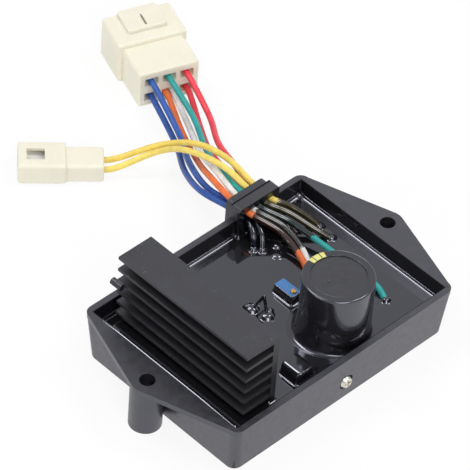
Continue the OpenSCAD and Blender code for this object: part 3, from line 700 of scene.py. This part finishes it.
def build_plug(name, plug, mat):
    """Connector housing with softened ends, wire cells, an open mating end and its latch or window."""
    bm = bmesh.new()
    w, h, shell_l = plug["shell"]
    rear_w, rear_h, rear_l = plug["rear"]
    wall, long = plug["wall"], rear_l + shell_l
    window = plug.get("window")
    mark = window[0] / 2 if window else PLAIN_MARK
    stops = window[1:] if window else ()
    turn_in = []
    for i in range(6):
        a = QUARTER * i / 5
        turn_in.append((PLUG_SOFT * (1 - math.sin(a)), PLUG_SOFT * (1 - math.cos(a))))
    levels = [plug_ring(rear_w, rear_h, y, mark, inset) for inset, y in turn_in]
    levels.append(plug_ring(rear_w, rear_h, rear_l, mark))
    levels += [plug_ring(w, h, rear_l + y, mark, inset) for inset, y in turn_in]
    outer = len(levels)
    levels += [plug_ring(w, h, y, mark) for y in stops]
    levels += [plug_ring(w, h, long - y, mark, inset) for inset, y in reversed(turn_in)]
    inner = len(levels) + 1
    for y in (long, *reversed(stops), long - plug["deep"]):
        levels.append(plug_ring(w - 2 * wall, h - 2 * wall, y, mark, lift=wall))
    rings = [[bm.verts.new(p) for p in ring] for ring in levels]
    skin(bm, rings, {(outer, MARK_AT), (inner, MARK_AT)} if window else ())
    bm.faces.new(rings[-1])
    if window:
        add_window(bm, (rings[outer], rings[inner + 1]), (rings[outer + 1], rings[inner]))
    add_cells(bm, plug, rings[0])
    if "latch" in plug:
        add_latch(bm, plug, h, long)
    bmesh.ops.recalc_face_normals(bm, faces=bm.faces)
    place = Matrix.Translation((*plug["place"], 0)) @ Matrix.Rotation(math.radians(plug["turn"]), 4, "Z")
    bmesh.ops.transform(bm, matrix=Matrix.Scale(MM, 4) @ place, verts=bm.verts)
    mesh = bpy.data.meshes.new(name)
    bm.to_mesh(mesh)
    bm.free()
    ob = add_piece(name, mesh, mat)
    mesh.set_sharp_from_angle(angle=math.radians(PLUG_SHARP))
    return ob


# Wires: the routes of the source, in millimetres, from the resin to the plug
ROUTES = {
    "blue_1": [
        (20.33, 30.31, 16), (22.32, 32.47, 21), (24.79, 38.65, 23.35), (24.79, 48.6, 23.35),
        (24.91, 65.52, 20.16), (34.57, 85.5, 11.04), (49.27, 106.52, 3.36), (59.27, 130.99, 5.15),
        (61.66, 137.56, 5.15),
    ],
    "blue_2": [
        (22.9, 27.48, 16), (25.48, 30.72, 20.6), (27.91, 38.65, 23.35), (27.91, 48.6, 23.35),
        (28.9, 65.52, 19.2), (38.09, 86.54, 12.96), (51.27, 106.52, 7.2), (59.27, 130.99, 13.35),
        (61.66, 137.56, 13.35),
    ],
    "orange": [
        (27.96, 5.99, 16), (30.04, 11.47, 18), (31.53, 25.49, 22), (25.97, 38.65, 26.85),
        (25.97, 48.6, 26.85), (30.9, 66.47, 23.52), (43.1, 86.97, 11.04), (57.33, 111.54, 2.64),
        (65.61, 128.68, 5.15), (68.01, 135.25, 5.15),
    ],
    "white": [
        (32.03, 9.47, 16), (34.02, 15.53, 18.5), (34.52, 27.48, 22.5), (28.94, 38.65, 26.85),
        (28.94, 48.6, 26.85), (34.93, 68.46, 24.48), (45.09, 87.49, 14.4), (60.3, 110.5, 4.8),
        (68.34, 127.69, 5.15), (70.73, 134.26, 5.15),
    ],
    "green": [
        (41, -25.97, 16), (42.49, -19.49, 18), (41.99, 4.49, 19), (38.51, 27.48, 22.5),
        (32, 38.65, 26.85), (32, 48.6, 26.85), (38.42, 69.5, 22.08), (50.1, 89.48, 12.48),
        (61.79, 109.46, 9.6), (66.97, 128.18, 13.35), (69.37, 134.76, 13.35),
    ],
    "red_1": [
        (35.93, 25.49, 16), (36.1, 30.97, 20), (35.49, 38.65, 23.35), (35.49, 48.6, 23.35),
        (41.39, 66.47, 19.68), (52.1, 88.53, 9.6), (65.28, 108.51, 2.88), (74.68, 125.38, 5.15),
        (77.07, 131.95, 5.15),
    ],
    "red_2": [
        (39.17, 25.99, 16), (39.34, 31.47, 20), (38.61, 38.65, 23.35), (38.61, 48.6, 23.35),
        (44.91, 66.47, 21.6), (55.59, 87.49, 13.44), (68.76, 106.52, 7.68), (74.68, 125.38, 13.35),
        (77.07, 131.95, 13.35),
    ],
    "yellow_1": [
        (50.54, 22.01, 16), (48.72, 25.49, 18.9), (43.73, 32.88, 24), (39, 38.65, 26.85),
        (39, 48.6, 26.85), (41.94, 69.5, 26.4), (41.1, 86.54, 22.56), (36.24, 102.54, 13.44),
        (20.67, 116.22, 4.65), (15.38, 120.81, 4.65),
    ],
    "yellow_2": [
        (49.46, 14.04, 16), (46.47, 18.52, 18.5), (40.5, 31.47, 24), (35.53, 38.65, 26.85),
        (35.53, 48.6, 26.85), (34.86, 62.49, 29.76), (34.1, 85.5, 24), (33.22, 101.5, 12),
        (16.86, 111.84, 4.65), (11.58, 116.44, 4.65),
    ],
}
WIRE_D = 2.7
# Steps between two points of a route, for the curve
CURVE_STEPS = 4
# Colour of each wire, and the stretch in y that carries a film of resin
WIRE_LOOK = {
    "blue_1": ((0.018, 0.082, 0.35), -90, 45),
    "blue_2": ((0.022, 0.095, 0.40), -90, 45),
    "orange": ((0.85, 0.18, 0.045), 14.8, 37.2),
    "white": ((0.82, 0.82, 0.79), 15.2, 38.5),
    "green": ((0.02, 0.345, 0.325), 16, 40),
    "red_1": ((0.78, 0.04, 0.06), -90, 45),
    "red_2": ((0.86, 0.052, 0.08), -90, 45),
    "yellow_1": ((0.94, 0.70, 0.145), -90, 36.8),
    "yellow_2": ((0.94, 0.72, 0.155), -90, 40.5),
}


def smooth_route(points, steps):
    """Points on one smooth curve through the route's points."""
    p = [Vector(v) for v in points]
    p = [2 * p[0] - p[1], *p, 2 * p[-1] - p[-2]]
    out = []
    for i in range(1, len(p) - 2):
        a, b, c, d = p[i - 1 : i + 3]
        t0 = 0.0
        t1 = t0 + math.sqrt((b - a).length)
        t2 = t1 + math.sqrt((c - b).length)
        t3 = t2 + math.sqrt((d - c).length)
        for s in range(steps):
            t = t1 + (t2 - t1) * s / steps
            ab = (a * (t1 - t) + b * (t - t0)) / (t1 - t0)
            bc = (b * (t2 - t) + c * (t - t1)) / (t2 - t1)
            cd = (c * (t3 - t) + d * (t - t2)) / (t3 - t2)
            abc = (ab * (t2 - t) + bc * (t - t0)) / (t2 - t0)
            bcd = (bc * (t3 - t) + cd * (t - t1)) / (t3 - t1)
            out.append((abc * (t2 - t) + bcd * (t - t1)) / (t2 - t1))
    out.append(p[-2])
    return out


def build_wires(plugs):
    for name, route in ROUTES.items():
        color, low, high = WIRE_LOOK[name]
        points = smooth_route(route, CURVE_STEPS)
        data = bpy.data.curves.new("wire_" + name, "CURVE")
        data.dimensions = "3D"
        data.bevel_depth = WIRE_D / 2 * MM
        data.bevel_resolution = 6
        data.resolution_u = 4
        data.use_fill_caps = True
        spline = data.splines.new("BEZIER")
        spline.bezier_points.add(len(points) - 1)
        for bp, p in zip(spline.bezier_points, points):
            bp.co = p * MM
            bp.handle_left_type = bp.handle_right_type = "AUTO"
        data.materials.append(insulated("insulation_" + name, color, low * MM, high * MM))
        ob = bpy.data.objects.new("lead_" + name, data)
        scene.collection.objects.link(ob)
        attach(ob, ROOT)
        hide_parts("wire_" + name)


# Resin: a level face that creeps up everything standing in it, in millimetres
RESIN_Z = 16.0
FLOOR_Z = 2.5
FLOOR_CLEAR = 0.02
HALF_L, HALF_W = 57.9, 40.9
FOOT_L, FOOT_W = 56.72, 39.72
# Places and sizes of what stands in it
CAP = (13.8, -23.1)
CAP_R = 15.0
TRIMMER = (12.8, 2.6)
TRIMMER_HALF = (2.5, 5.0)
BLOCK = (-14.6, -30.9)
BLOCK_HALF = (4.8, 5.1)
BLOCK_R = 1.4
# Rise and reach of the creep on the walls, and height and width of the pools in the corners
WALL_CREEP = (1.3, 1.3)
CORNER_POOL = (2.2, 1.1)
# Plate of the heat sink and inner face of the grommet: x0, y0, x1, y1, then rise and reach of the creep
STANDING = [
    ((-34.4, -35.35, -31.4, 38.15), 1.0, 0.9),
    ((20.4, 39.15, 43.0, 40.55), 1.2, 0.9),
]
# Rise and reach of the creep at the foot of each wire
WIRE_CREEP = {
    "blue_1": (1.9, 0.8), "blue_2": (1.9, 0.8), "orange": (1.4, 0.9), "white": (1.4, 0.9), "green": (1.6, 1.0),
    "red_1": (1.2, 0.9), "red_2": (1.2, 0.9), "yellow_1": (1.6, 1.0), "yellow_2": (1.6, 1.0),
}
# Domes over joints: x, y, radius, height
DOMES = [
    (29.5, 25.5, 2.0, 1.2), (25.5, 21.5, 2.5, 1.0), (-1.6, -0.6, 3.2, 1.8), (-3.6, 6.3, 3.2, 1.8),
    (1.2, 0.6, 1.5, 1.6), (-5.0, 8.2, 1.5, 1.6),
]
DOME_FLAT = 1.2
# Waves of the level face: length, place in the noise, height
WAVES = ((21, 3.7, 0.04), (8, 9.1, 0.008))
# Grid of the level face: step near the walls, width of that band, step elsewhere
GRID_FINE, GRID_BAND, GRID_STEP = 0.12, 1.7, 0.42


def creep(distance, rise, reach):
    """Height of the resin's edge at a distance from what it wets, a hollow quarter round."""
    t = 1 - max(0.0, distance) / reach
    return rise * (1 - math.sqrt(1 - t * t)) if t > 0 else 0.0


def box_distance(x, y, box):
    dx = max(box[0] - x, x - box[2], 0.0)
    dy = max(box[1] - y, y - box[3], 0.0)
    return math.hypot(dx, dy)


def resin_height(x, y):
    dx, dy = HALF_L - abs(x), HALF_W - abs(y)
    pool, wide = CORNER_POOL
    parts = [creep(dx, *WALL_CREEP) + creep(dy, *WALL_CREEP) + pool * math.exp(-math.hypot(dx, dy) / wide)]
    for box, rise, reach in STANDING:
        parts.append(creep(box_distance(x, y, box), rise, reach))
    for name, (rise, reach) in WIRE_CREEP.items():
        cx, cy, _ = ROUTES[name][0]
        parts.append(creep(math.hypot(x - cx, y - cy) - WIRE_D / 2, rise, reach))
    for cx, cy, r, h in DOMES:
        t = math.hypot(x - cx, y - cy) / r
        if t < 1:
            parts.append(h * math.sqrt(1 - t * t) ** DOME_FLAT)
    rise = sum(p**2 for p in parts) ** 0.5
    wave = sum(noise.noise(Vector((x / size, y / size, at))) * height for size, at, height in WAVES)
    return RESIN_Z + rise + wave


def grid_lines(half):
    """Line places from one wall to the other, closer together near the walls."""
    n = round(GRID_BAND / GRID_FINE)
    edge = [-half + GRID_BAND * i / n for i in range(n)]
    m = round(2 * (half - GRID_BAND) / GRID_STEP)
    middle = [-half + GRID_BAND + 2 * (half - GRID_BAND) * i / m for i in range(m + 1)]
    return edge + middle + [-v for v in reversed(edge)]


def build_resin(mats):
    """Resin with its creeping top face and plain sides down to the tray's floor."""
    xs, ys = grid_lines(HALF_L), grid_lines(HALF_W)
    nx, ny = len(xs) - 1, len(ys) - 1
    verts = [(x, y, resin_height(x, y)) for y in ys for x in xs]
    faces = []
    row = nx + 1
    for j in range(ny):
        for i in range(nx):
            a = j * row + i
            faces.append((a, a + 1, a + row + 1, a + row))
    rim = list(range(row)) + [j * row + nx for j in range(1, ny + 1)]
    rim += [ny * row + i for i in range(nx - 1, -1, -1)] + [j * row for j in range(ny - 1, 0, -1)]
    base = len(verts)
    for k in rim:
        x, y, _ = verts[k]
        verts.append((x * FOOT_L / HALF_L, y * FOOT_W / HALF_W, FLOOR_Z + FLOOR_CLEAR))
    for k in range(len(rim)):
        k2 = (k + 1) % len(rim)
        faces.append((rim[k2], rim[k], base + k, base + k2))
    faces.append(tuple(base + k for k in range(len(rim) - 1, -1, -1)))
    ob = link_mesh("potting", verts, faces, mats["resin"])
    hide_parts("potting_resin")


# Foot of a coat: how far it goes on outward and down under the level face
FOOT_OUT, FOOT_DOWN = 0.4, 0.6
FILLET_STEPS = 8
# Collar on the capacitor: side in degrees where it is highest, spread, then least and added rise and reach
COLLAR_SIDE, COLLAR_SPREAD = 142, 60
COLLAR_RISE = (2.0, 19.0)
COLLAR_REACH = (0.3, 2.9)
COLLAR_TURNS, COLLAR_STEPS = 180, 26
# How far it reaches into the sleeve and under the level face, the power of its curve, and its clearance
COLLAR_IN, COLLAR_DEEP, COLLAR_POWER, COLLAR_CLEAR = 0.2, 1.0, 2.4, 0.03
# Hollow at its foot: width, and the height it starts at
HOLLOW_WIDE, HOLLOW_HIGH = 1.1, 1.4
# Skirt under the level face: how far it goes out and down
SKIRT_OUT, SKIRT_DOWN = 1.6, 0.3
# Bead on the rim: section as (x, z) points, first y and length, steps
RIM_Z = 24
BEAD = [
    (-59.05, 23.9), (-59.02, 24.02), (-58.72, 24.16), (-58.42, 24.31),
    (-58.34, 24.3), (-58.3, 24.2), (-58.3, 23.7),
]
BEAD_START, BEAD_LONG, BEAD_STEPS = -41.2, 77.4, 60
# How far the bead wanders, over what length and where in the noise, and how fast it swells and ends
BEAD_WANDER, BEAD_WAVE, BEAD_NOISE = 0.03, 5, (0.3, 0.8)
BEAD_SWELL, BEAD_END = 4, 8
# Coats: gap and radius of the foot, then the levels above it, grown in both directions or in x and y
TRIMMER_FOOT = (0.42, 1.1)
TRIMMER_TOP = [
    (0.40, 18.3), (0.37, 18.9), (0.33, 19.4), (0.26, 19.8), (0.14, 20.05), (-0.1, 20.12), (-0.4, 20.12),
]
BLOCK_FOOT = (0.25, 1.2)
BLOCK_SIDE = [(0.2, 0.2, 18.2), (0.12, 0.15, 18.8)]
# Rounded long top of the block: its grow in x and y, start, radius, steps, and how far its ends draw in
BLOCK_TOP_GROW = (0.1, 0.12)
BLOCK_TOP_Z, BLOCK_TOP_R, BLOCK_TOP_STEPS, BLOCK_END_IN = 19.1, 2.6, 12, 0.3


def fillet(grow, radius):
    """Levels of a hollow foot that meets the resin level and ends upright."""
    out = [(grow + radius + FOOT_OUT, RESIN_Z - FOOT_DOWN)]
    for i in range(FILLET_STEPS + 1):
        a = QUARTER * i / FILLET_STEPS
        out.append((grow + radius * (1 - math.sin(a)), RESIN_Z + radius * (1 - math.cos(a))))
    return [(g, g, z) for g, z in out]


def build_collar(mats):
    """Resin that has crept up the foot of the capacitor, most on the side away from the near wall."""
    turns, steps = COLLAR_TURNS, COLLAR_STEPS
    verts, faces = [], []
    for k in range(turns):
        angle = 360 * k / turns
        wide = math.exp(-(((angle - COLLAR_SIDE + 180) % 360 - 180) / COLLAR_SPREAD) ** 2)
        rise, reach = (least + added * wide for least, added in (COLLAR_RISE, COLLAR_REACH))
        ring = [(CAP_R - COLLAR_IN, RESIN_Z - COLLAR_DEEP), (CAP_R - COLLAR_IN, RESIN_Z + rise)]
        for i in range(1, steps + 1):
            t = i / steps
            height = rise * (1 - t) ** 2
            hollow = max(0.0, 1 - height / HOLLOW_HIGH)
            foot = HOLLOW_WIDE * (1 - math.sqrt(1 - hollow**2))
            ring.append((CAP_R + reach * t**COLLAR_POWER + foot, RESIN_Z + COLLAR_CLEAR + height))
        ring.append((CAP_R + reach + SKIRT_OUT, RESIN_Z - SKIRT_DOWN))
        c, s = math.cos(math.radians(angle)), math.sin(math.radians(angle))
        verts += [(CAP[0] + r * c, CAP[1] + r * s, z) for r, z in ring]
    n = steps + 3
    for k in range(turns):
        a, b = k * n, (k + 1) % turns * n
        for i in range(n):
            j = (i + 1) % n
            faces.append((a + i, b + i, b + j, a + j))
    collar = link_mesh("capacitor_collar", verts, faces, mats["sleeve"])


def build_rim_bead(mats):
    """Thin bead of resin left along the inner edge of the rim beside the heat sink."""
    count, steps = len(BEAD), BEAD_STEPS
    verts, faces = [], []
    for i in range(steps + 1):
        y = BEAD_START + BEAD_LONG * i / steps
        shift = BEAD_WANDER * noise.noise(Vector((y / BEAD_WAVE, *BEAD_NOISE)))
        grow = min(1.0, BEAD_SWELL * i / steps, BEAD_END * (steps - i) / steps)
        verts += [(x + shift, y, RIM_Z + (z - RIM_Z) * (grow if z > RIM_Z else 1)) for x, z in BEAD]
    for i in range(steps):
        for j in range(count):
            k = (j + 1) % count
            faces.append((i * count + j, i * count + k, (i + 1) * count + k, (i + 1) * count + j))
    faces.append(tuple(range(count)))
    faces.append(tuple(range(steps * count, (steps + 1) * count)))
    bead = link_mesh("rim_bead", verts, faces, mats["resin"])


def build_coats(mats):
    """Resin that has crept up the trimmer, and the block under its coat."""
    levels = fillet(*TRIMMER_FOOT) + [(g, g, z) for g, z in TRIMMER_TOP]
    coat = loft("trimmer_coat", TRIMMER, TRIMMER_HALF, levels, mats["resin"])
    levels = fillet(*BLOCK_FOOT) + BLOCK_SIDE
    grow_x, grow_y = BLOCK_TOP_GROW
    for i in range(BLOCK_TOP_STEPS + 1):
        a = QUARTER * i / BLOCK_TOP_STEPS
        fall = 1 - math.cos(a)
        ends = grow_y - BLOCK_END_IN * fall**3
        levels.append((grow_x - BLOCK_TOP_R * fall, ends, BLOCK_TOP_Z + BLOCK_TOP_R * math.sin(a)))
    block = loft("block", BLOCK, BLOCK_HALF, levels, mats["coated"], r=BLOCK_R)
    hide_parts("block_capacitor")


# Capacitor in millimetres: top, foot, outer levels and rounded edge of its sleeve
CAP_TOP = 46.0
SLEEVE_FOOT = 10.4
SLEEVE_LEVELS = (SLEEVE_FOOT, 30.0, 43.6)
SLEEVE_EDGE = 0.9
SLEEVE_EDGE_STEPS = 14
# Fold of the sleeve on the top and its inner side, as (radius, distance under the top) points
SLEEVE_FOLD = [(12.4, 0), (11.72, 0), (11.63, 0.03), (11.6, 0.1), (11.6, 0.38), (13.0, 0.4), (14.2, 1.4)]
SLEEVE_INSIDE = [(14.62, 42.0), (14.62, SLEEVE_FOOT)]
# Top disc as (radius, height) points, and the pip on it
DISC = [
    (0.02, 45.2), (13.1, 45.2), (13.1, 45.55), (11.5, 45.6),
    (8.0, 45.6), (5.9, 45.6), (5.3, 45.6), (0.02, 45.6),
]
PIP = (8.96, -22.35, 45.45)
PIP_R = 0.62
# Polarity bars: first and last angle of each in degrees, radii, and height under and over the sleeve
BARS = ((101.6, 93.6), (92.0, 80.1), (78.5, 70.2))
BAR_RADII = (11.68, 12.6, 13.6, 14.1, 14.4, 14.65, 14.82)
BAR_LIFTS = (-0.05, 0.04)
BAR_STEPS = 6


def build_capacitor(mats):
    outer = [(CAP_R, z) for z in SLEEVE_LEVELS]
    for i in range(SLEEVE_EDGE_STEPS + 1):
        a = QUARTER * i / SLEEVE_EDGE_STEPS
        outer.append((CAP_R - SLEEVE_EDGE * (1 - math.cos(a)), CAP_TOP - SLEEVE_EDGE * (1 - math.sin(a))))
    fold = [(r, CAP_TOP - under) for r, under in SLEEVE_FOLD]
    sleeve = lathe("sleeve", outer + fold + SLEEVE_INSIDE, CAP, mats["sleeve"])
    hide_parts("capacitor_sleeve")
    cover = lathe("top_disc", DISC, CAP, mats["disc"])
    bm = bmesh.new()
    bm.from_mesh(cover.data)
    place = Matrix.Translation(Vector(PIP) * MM)
    bmesh.ops.create_uvsphere(bm, u_segments=20, v_segments=10, radius=PIP_R * MM, matrix=place)
    bm.to_mesh(cover.data)
    bm.free()
    cover.data.polygons.foreach_set("use_smooth", [False] * len(cover.data.polygons))
    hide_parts("capacitor_top_disc")


def build_polarity_bars(mats):
    """Thin bars that lie on the rounded edge of the sleeve."""
    verts, faces = [], []
    count, steps = len(BAR_RADII), BAR_STEPS
    layer = count * (steps + 1)
    for first, last in BARS:
        base = len(verts)
        for lift in BAR_LIFTS:
            for i in range(steps + 1):
                a = math.radians(first + (last - first) * i / steps)
                for r in BAR_RADII:
                    past = max(0.0, r - CAP_R + SLEEVE_EDGE)
                    drop = SLEEVE_EDGE - math.sqrt(SLEEVE_EDGE**2 - past**2)
                    verts.append((CAP[0] + r * math.cos(a), CAP[1] + r * math.sin(a), CAP_TOP - drop + lift))
        for i in range(steps):
            for j in range(count - 1):
                k = base + count * i + j
                faces.append((k, k + 1, k + count + 1, k + count))
                k += layer
                faces.append((k, k + count, k + count + 1, k + 1))
        rim = [base + j for j in range(count)]
        rim += [base + count * i + count - 1 for i in range(1, steps + 1)]
        rim += [base + count * steps + j for j in range(count - 2, -1, -1)]
        rim += [base + count * i for i in range(steps - 1, 0, -1)]
        for a, b in zip(rim, rim[1:] + rim[:1]):
            faces.append((a, b, b + layer, a + layer))
    marks = link_mesh("polarity_bars", verts, faces, mats["mark"])


# Solids with rounded edges: CAD node, piece, material, slot, bevel in millimetres, its segments, body
SOLIDS = [
    ("potting_case", "tray", "case", "case_plastic", 0.45, 3, ROOT),
    ("heat_sink", "finned_sink", "sink", "black_anodised", 0.22, 2, ROOT),
    ("capacitor_can", "can", "can", "can_aluminium", 0, 0, ROOT),
    ("trimmer_body", "trimmer", "trimmer", "trimmer_plastic", 0.2, 3, ROOT),
    ("trimmer_screw", "trimmer_adjuster", "brass", "brass", 0.08, 2, ADJUSTER),
    ("jumper_lead", "jumper", "coated", "coated_lead", 0, 0, ROOT),
    ("power_transistors", "transistors", "device", "black_moulding", 0.2, 2, ROOT),
    ("transistor_screws", "clamp_screws", "zinc", "zinc_steel", 0.3, 3, ROOT),
    ("wall_screw", "case_screw", "nickel", "nickel_steel", 0.15, 2, ROOT),
    ("wire_grommet", "grommet", "rubber", "grommet_rubber", 0.35, 3, ROOT),
]


def build_solids(mats):
    """The CAD forms with rounded edges and their materials."""
    for node, name, mat, slot, bevel, segments, body in SOLIDS:
        from_cad(node, name, mats[mat], bevel, segments, body)
    for node, mat in (("circuit_board", "board"), ("control_chip", "chip")):
        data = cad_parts[node].data
        data.materials.clear()
        data.materials.append(mats[mat])


def build_plugs(mats):
    """Both connectors, each as its housing and its terminals."""
    loom = build_plug("loom_plug", LOOM, mats["nylon"])
    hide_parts("loom_housing")
    loom_tabs = from_cad("loom_terminals", "loom_tabs", mats["terminal"], 0.15, 2)
    pair = build_plug("pair_plug", PAIR, mats["nylon"])
    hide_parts("pair_housing")
    pair_tabs = from_cad("pair_terminals", "pair_tabs", mats["tin"], 0.15, 2)
    return {"loom": [loom, loom_tabs], "pair": [pair, pair_tabs]}


def main():
    place_camera()
    build_stage()
    mats = make_materials()
    build_solids(mats)
    build_wires(build_plugs(mats))
    build_resin(mats)
    build_coats(mats)
    build_collar(mats)
    build_rim_bead(mats)
    build_capacitor(mats)
    build_polarity_bars(mats)


main()
